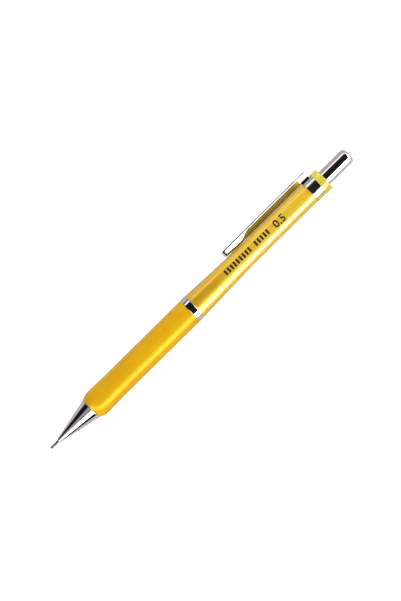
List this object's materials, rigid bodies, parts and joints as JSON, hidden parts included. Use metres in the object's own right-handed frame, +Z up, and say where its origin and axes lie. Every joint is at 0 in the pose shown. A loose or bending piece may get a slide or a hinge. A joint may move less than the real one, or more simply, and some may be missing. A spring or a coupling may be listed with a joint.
{
  "type": "mechanical pencil",
  "caption": "Click-advance mechanical pencil with a chrome nose cone, long soft grip, lacquered upper barrel, pocket clip, end collar and push button with an eraser under it.",
  "frame": {"origin": "centre of the writing lead's flat end, level with the mouth of the lead sleeve, on the pencil's axis", "axes": "+X along the pencil from the tip to the push button, +Y from the axis to the pocket clip, +Z up with the pencil lying on its side"},
  "size_m": [0.143, 0.0117, 0.01],
  "materials": {
    "chrome": "polished plating",
    "steel": "drawn steel",
    "brass": "turned",
    "soft_yellow": "satin soft rubber",
    "yellow_lacquer": "metallic lacquer",
    "clear_yellow": "translucent",
    "black_rubber": "matt",
    "graphite": "satin grey",
    "white_plastic": "satin",
    "smoke_plastic": "satin translucent",
    "eraser_white": "matt"
  },
  "bodies": {
    "barrel": {"grip_core": "white_plastic", "rubber_grip": "soft_yellow", "mid_ring": "chrome", "upper_barrel": "yellow_lacquer", "end_collar": "clear_yellow", "clip_band": "chrome", "return_spring": "steel"},
    "push_unit": {"chuck_body": "brass", "chuck_connector": "smoke_plastic", "lead_tube": "smoke_plastic"},
    "jaw_1": {"chuck_jaw_1": "brass"},
    "jaw_2": {"chuck_jaw_2": "brass"},
    "jaw_3": {"chuck_jaw_3": "brass"},
    "ring": {"clutch_ring": "brass"},
    "nose_carrier": {"clutch_sleeve": "white_plastic"},
    "nose": {"nose_cone": "chrome", "lead_sleeve": "steel", "lead_retainer": "black_rubber"},
    "lead": {"writing_lead": "graphite"},
    "button": {"push_button": "chrome"},
    "eraser_unit": {"eraser": "eraser_white", "eraser_holder": "steel"},
    "clip": {"clip_arm": "chrome"}
  },
  "joints": [
    {"name": "push", "type": "slide", "parent": "barrel", "child": "push_unit", "axis": [-1, 0, 0], "range_m": [0, 0.0032], "stiffness_N_per_m": 500, "springref_m": -0.006, "deforming": ["return_spring"]},
    {"name": "jaw_open_1", "type": "hinge", "parent": "push_unit", "child": "jaw_1", "pos_m": [0.02397, 0, 0.0007], "axis": [0, 1, 0], "range_deg": [0, 1.3]},
    {"name": "jaw_open_2", "type": "hinge", "parent": "push_unit", "child": "jaw_2", "pos_m": [0.02397, -0.00061, -0.00035], "axis": [0, -0.5, 0.866], "range_deg": [0, 1.3]},
    {"name": "jaw_open_3", "type": "hinge", "parent": "push_unit", "child": "jaw_3", "pos_m": [0.02397, 0.00061, -0.00035], "axis": [0, -0.5, -0.866], "range_deg": [0, 1.3]},
    {"name": "ring_travel", "type": "slide", "parent": "barrel", "child": "ring", "axis": [-1, 0, 0], "range_m": [0, 0.0012]},
    {"name": "nose_advance", "type": "slide", "parent": "barrel", "child": "nose_carrier", "axis": [-1, 0, 0], "range_m": [0, 0.00525]},
    {"name": "nose_unscrew", "type": "hinge", "parent": "nose_carrier", "child": "nose", "pos_m": [0.0115, 0, 0], "axis": [-1, 0, 0], "range_deg": [0, 2520]},
    {"name": "lead_feed", "type": "slide", "parent": "barrel", "child": "lead", "axis": [-1, 0, 0], "range_m": [0, 0.045]},
    {"name": "button_pull", "type": "slide", "parent": "push_unit", "child": "button", "axis": [1, 0, 0], "range_m": [0, 0.026]},
    {"name": "eraser_pull", "type": "slide", "parent": "push_unit", "child": "eraser_unit", "axis": [1, 0, 0], "range_m": [0, 0.0091]},
    {"name": "clip_flex", "type": "hinge", "parent": "barrel", "child": "clip", "pos_m": [0.12405, 0.0064, 0], "axis": [0, 0, -1], "range_deg": [0, 4], "stiffness_Nm_per_rad": 0.5, "springref_deg": -1.15}
  ],
  "couplings": [
    {"joint": "jaw_open_1", "follows": "push", "rad_per_m": 7},
    {"joint": "jaw_open_2", "follows": "push", "rad_per_m": 7},
    {"joint": "jaw_open_3", "follows": "push", "rad_per_m": 7},
    {"joint": "ring_travel", "follows": "push", "ratio": 0.375},
    {"joint": "nose_advance", "follows": "nose_unscrew", "m_per_rad": 0.00011937},
    {"joint": "eraser_pull", "follows": "button_pull", "ratio": 0.35}
  ]
}
